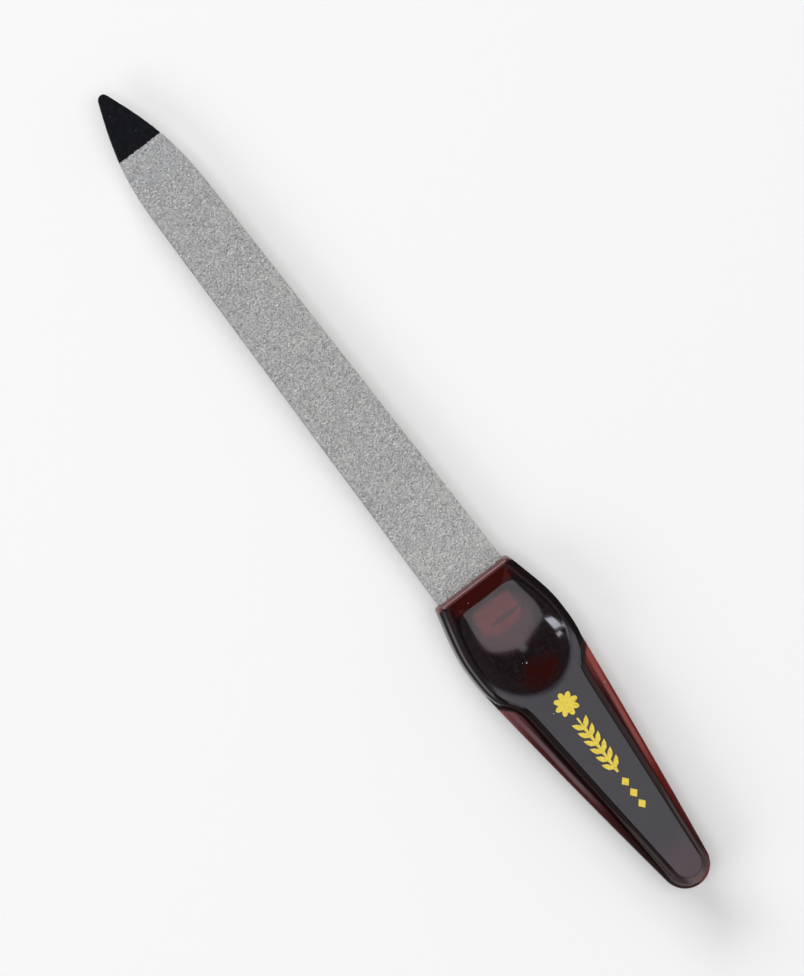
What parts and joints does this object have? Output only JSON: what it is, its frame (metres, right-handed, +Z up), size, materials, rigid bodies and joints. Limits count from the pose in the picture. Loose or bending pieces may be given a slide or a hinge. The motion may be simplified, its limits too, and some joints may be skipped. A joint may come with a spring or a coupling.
{
  "type": "sapphire nail file",
  "caption": "Flat tapering nail file: steel blade with sapphire grit on both faces, black coated point, and a moulded spade handle with thumb dishes and wings.",
  "frame": {"origin": "on the surface that the handle's lower face lies on, under the middle of the bounding box", "axes": "+X along the file towards the blade's point, +Y across it, +Z up out of the handle's printed face"},
  "size_m": [0.13, 0.0154, 0.006],
  "materials": {
    "blade_steel": "stamped steel with a blanked edge",
    "bond_resin": "cured grey bond resin",
    "sapphire_grit": "medium grit, speckled grey with bright crystal faces",
    "tip_paint": "matte black dip coat",
    "handle_plastic": "dark red-brown translucent plastic, polished in the dishes and satin on the flats",
    "foil": "yellow gold hot-stamped foil"
  },
  "bodies": {
    "root": {"blade_blank": "blade_steel", "upper_bond_coat": "bond_resin", "lower_bond_coat": "bond_resin", "upper_grit_layer": "sapphire_grit", "lower_grit_layer": "sapphire_grit", "tip_coat": "tip_paint", "handle": "handle_plastic", "foil_lozenge_front": "foil", "foil_lozenge_middle": "foil", "foil_lozenge_rear": "foil", "foil_leaf_spray": "foil", "foil_rosette": "foil"}
  },
  "joints": []
}
